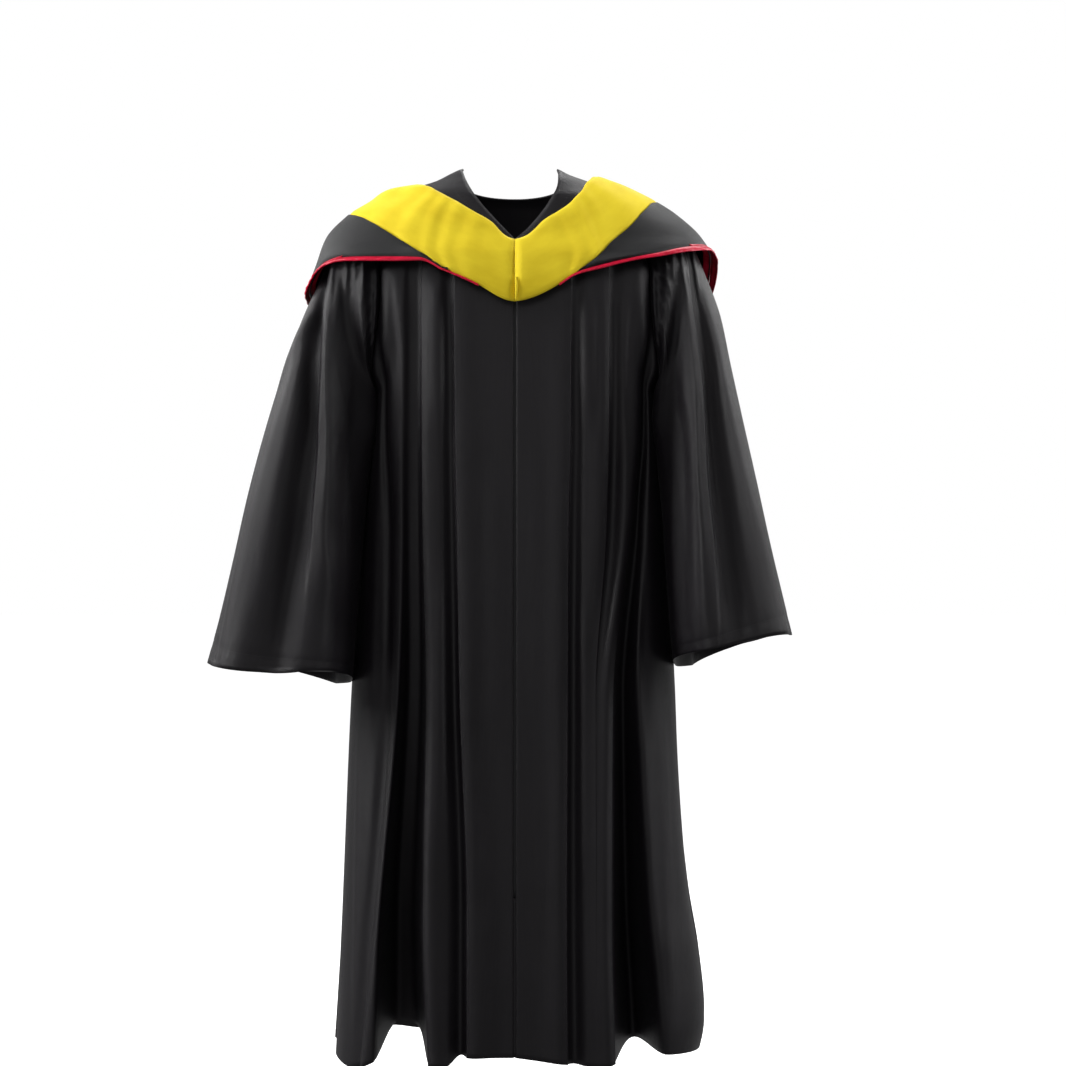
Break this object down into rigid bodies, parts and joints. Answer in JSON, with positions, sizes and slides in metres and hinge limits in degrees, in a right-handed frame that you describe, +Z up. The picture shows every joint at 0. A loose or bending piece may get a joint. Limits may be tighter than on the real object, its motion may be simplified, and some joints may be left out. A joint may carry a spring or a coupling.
{
  "type": "graduation gown with hood",
  "caption": "Hollow worn graduation gown with bell sleeves, pleated fronts and an academic hood over the shoulders.",
  "frame": {"origin": "the middle of the neck opening, level with the shoulder points of the neckline, where the wearer carries the gown", "axes": "+Z up, the front faces -Y, +X to the right as seen from the front"},
  "size_m": [0.8495, 0.4045, 1.302],
  "materials": {
    "gown_cloth": "matte black polyester with a faint sheen",
    "hood_cloth": "black polyester, a little smoother than the gown",
    "hood_velvet": "yellow velvet with a short nap",
    "hood_satin": "crimson satin",
    "zip_tape": "black woven zip tape with a nylon coil"
  },
  "bodies": {
    "root": {"yoke_front_left": "gown_cloth", "yoke_front_right": "gown_cloth", "yoke_back": "gown_cloth", "front_left": "gown_cloth", "front_right": "gown_cloth", "back": "gown_cloth", "front_zip": "zip_tape", "sleeve_left": "gown_cloth", "sleeve_right": "gown_cloth", "hood_trim_left": "hood_velvet", "hood_trim_right": "hood_velvet", "hood_shell_left": "hood_cloth", "hood_shell_right": "hood_cloth", "hood_edge_left": "hood_satin", "hood_edge_right": "hood_satin", "hood_lining": "hood_satin"}
  },
  "joints": []
}
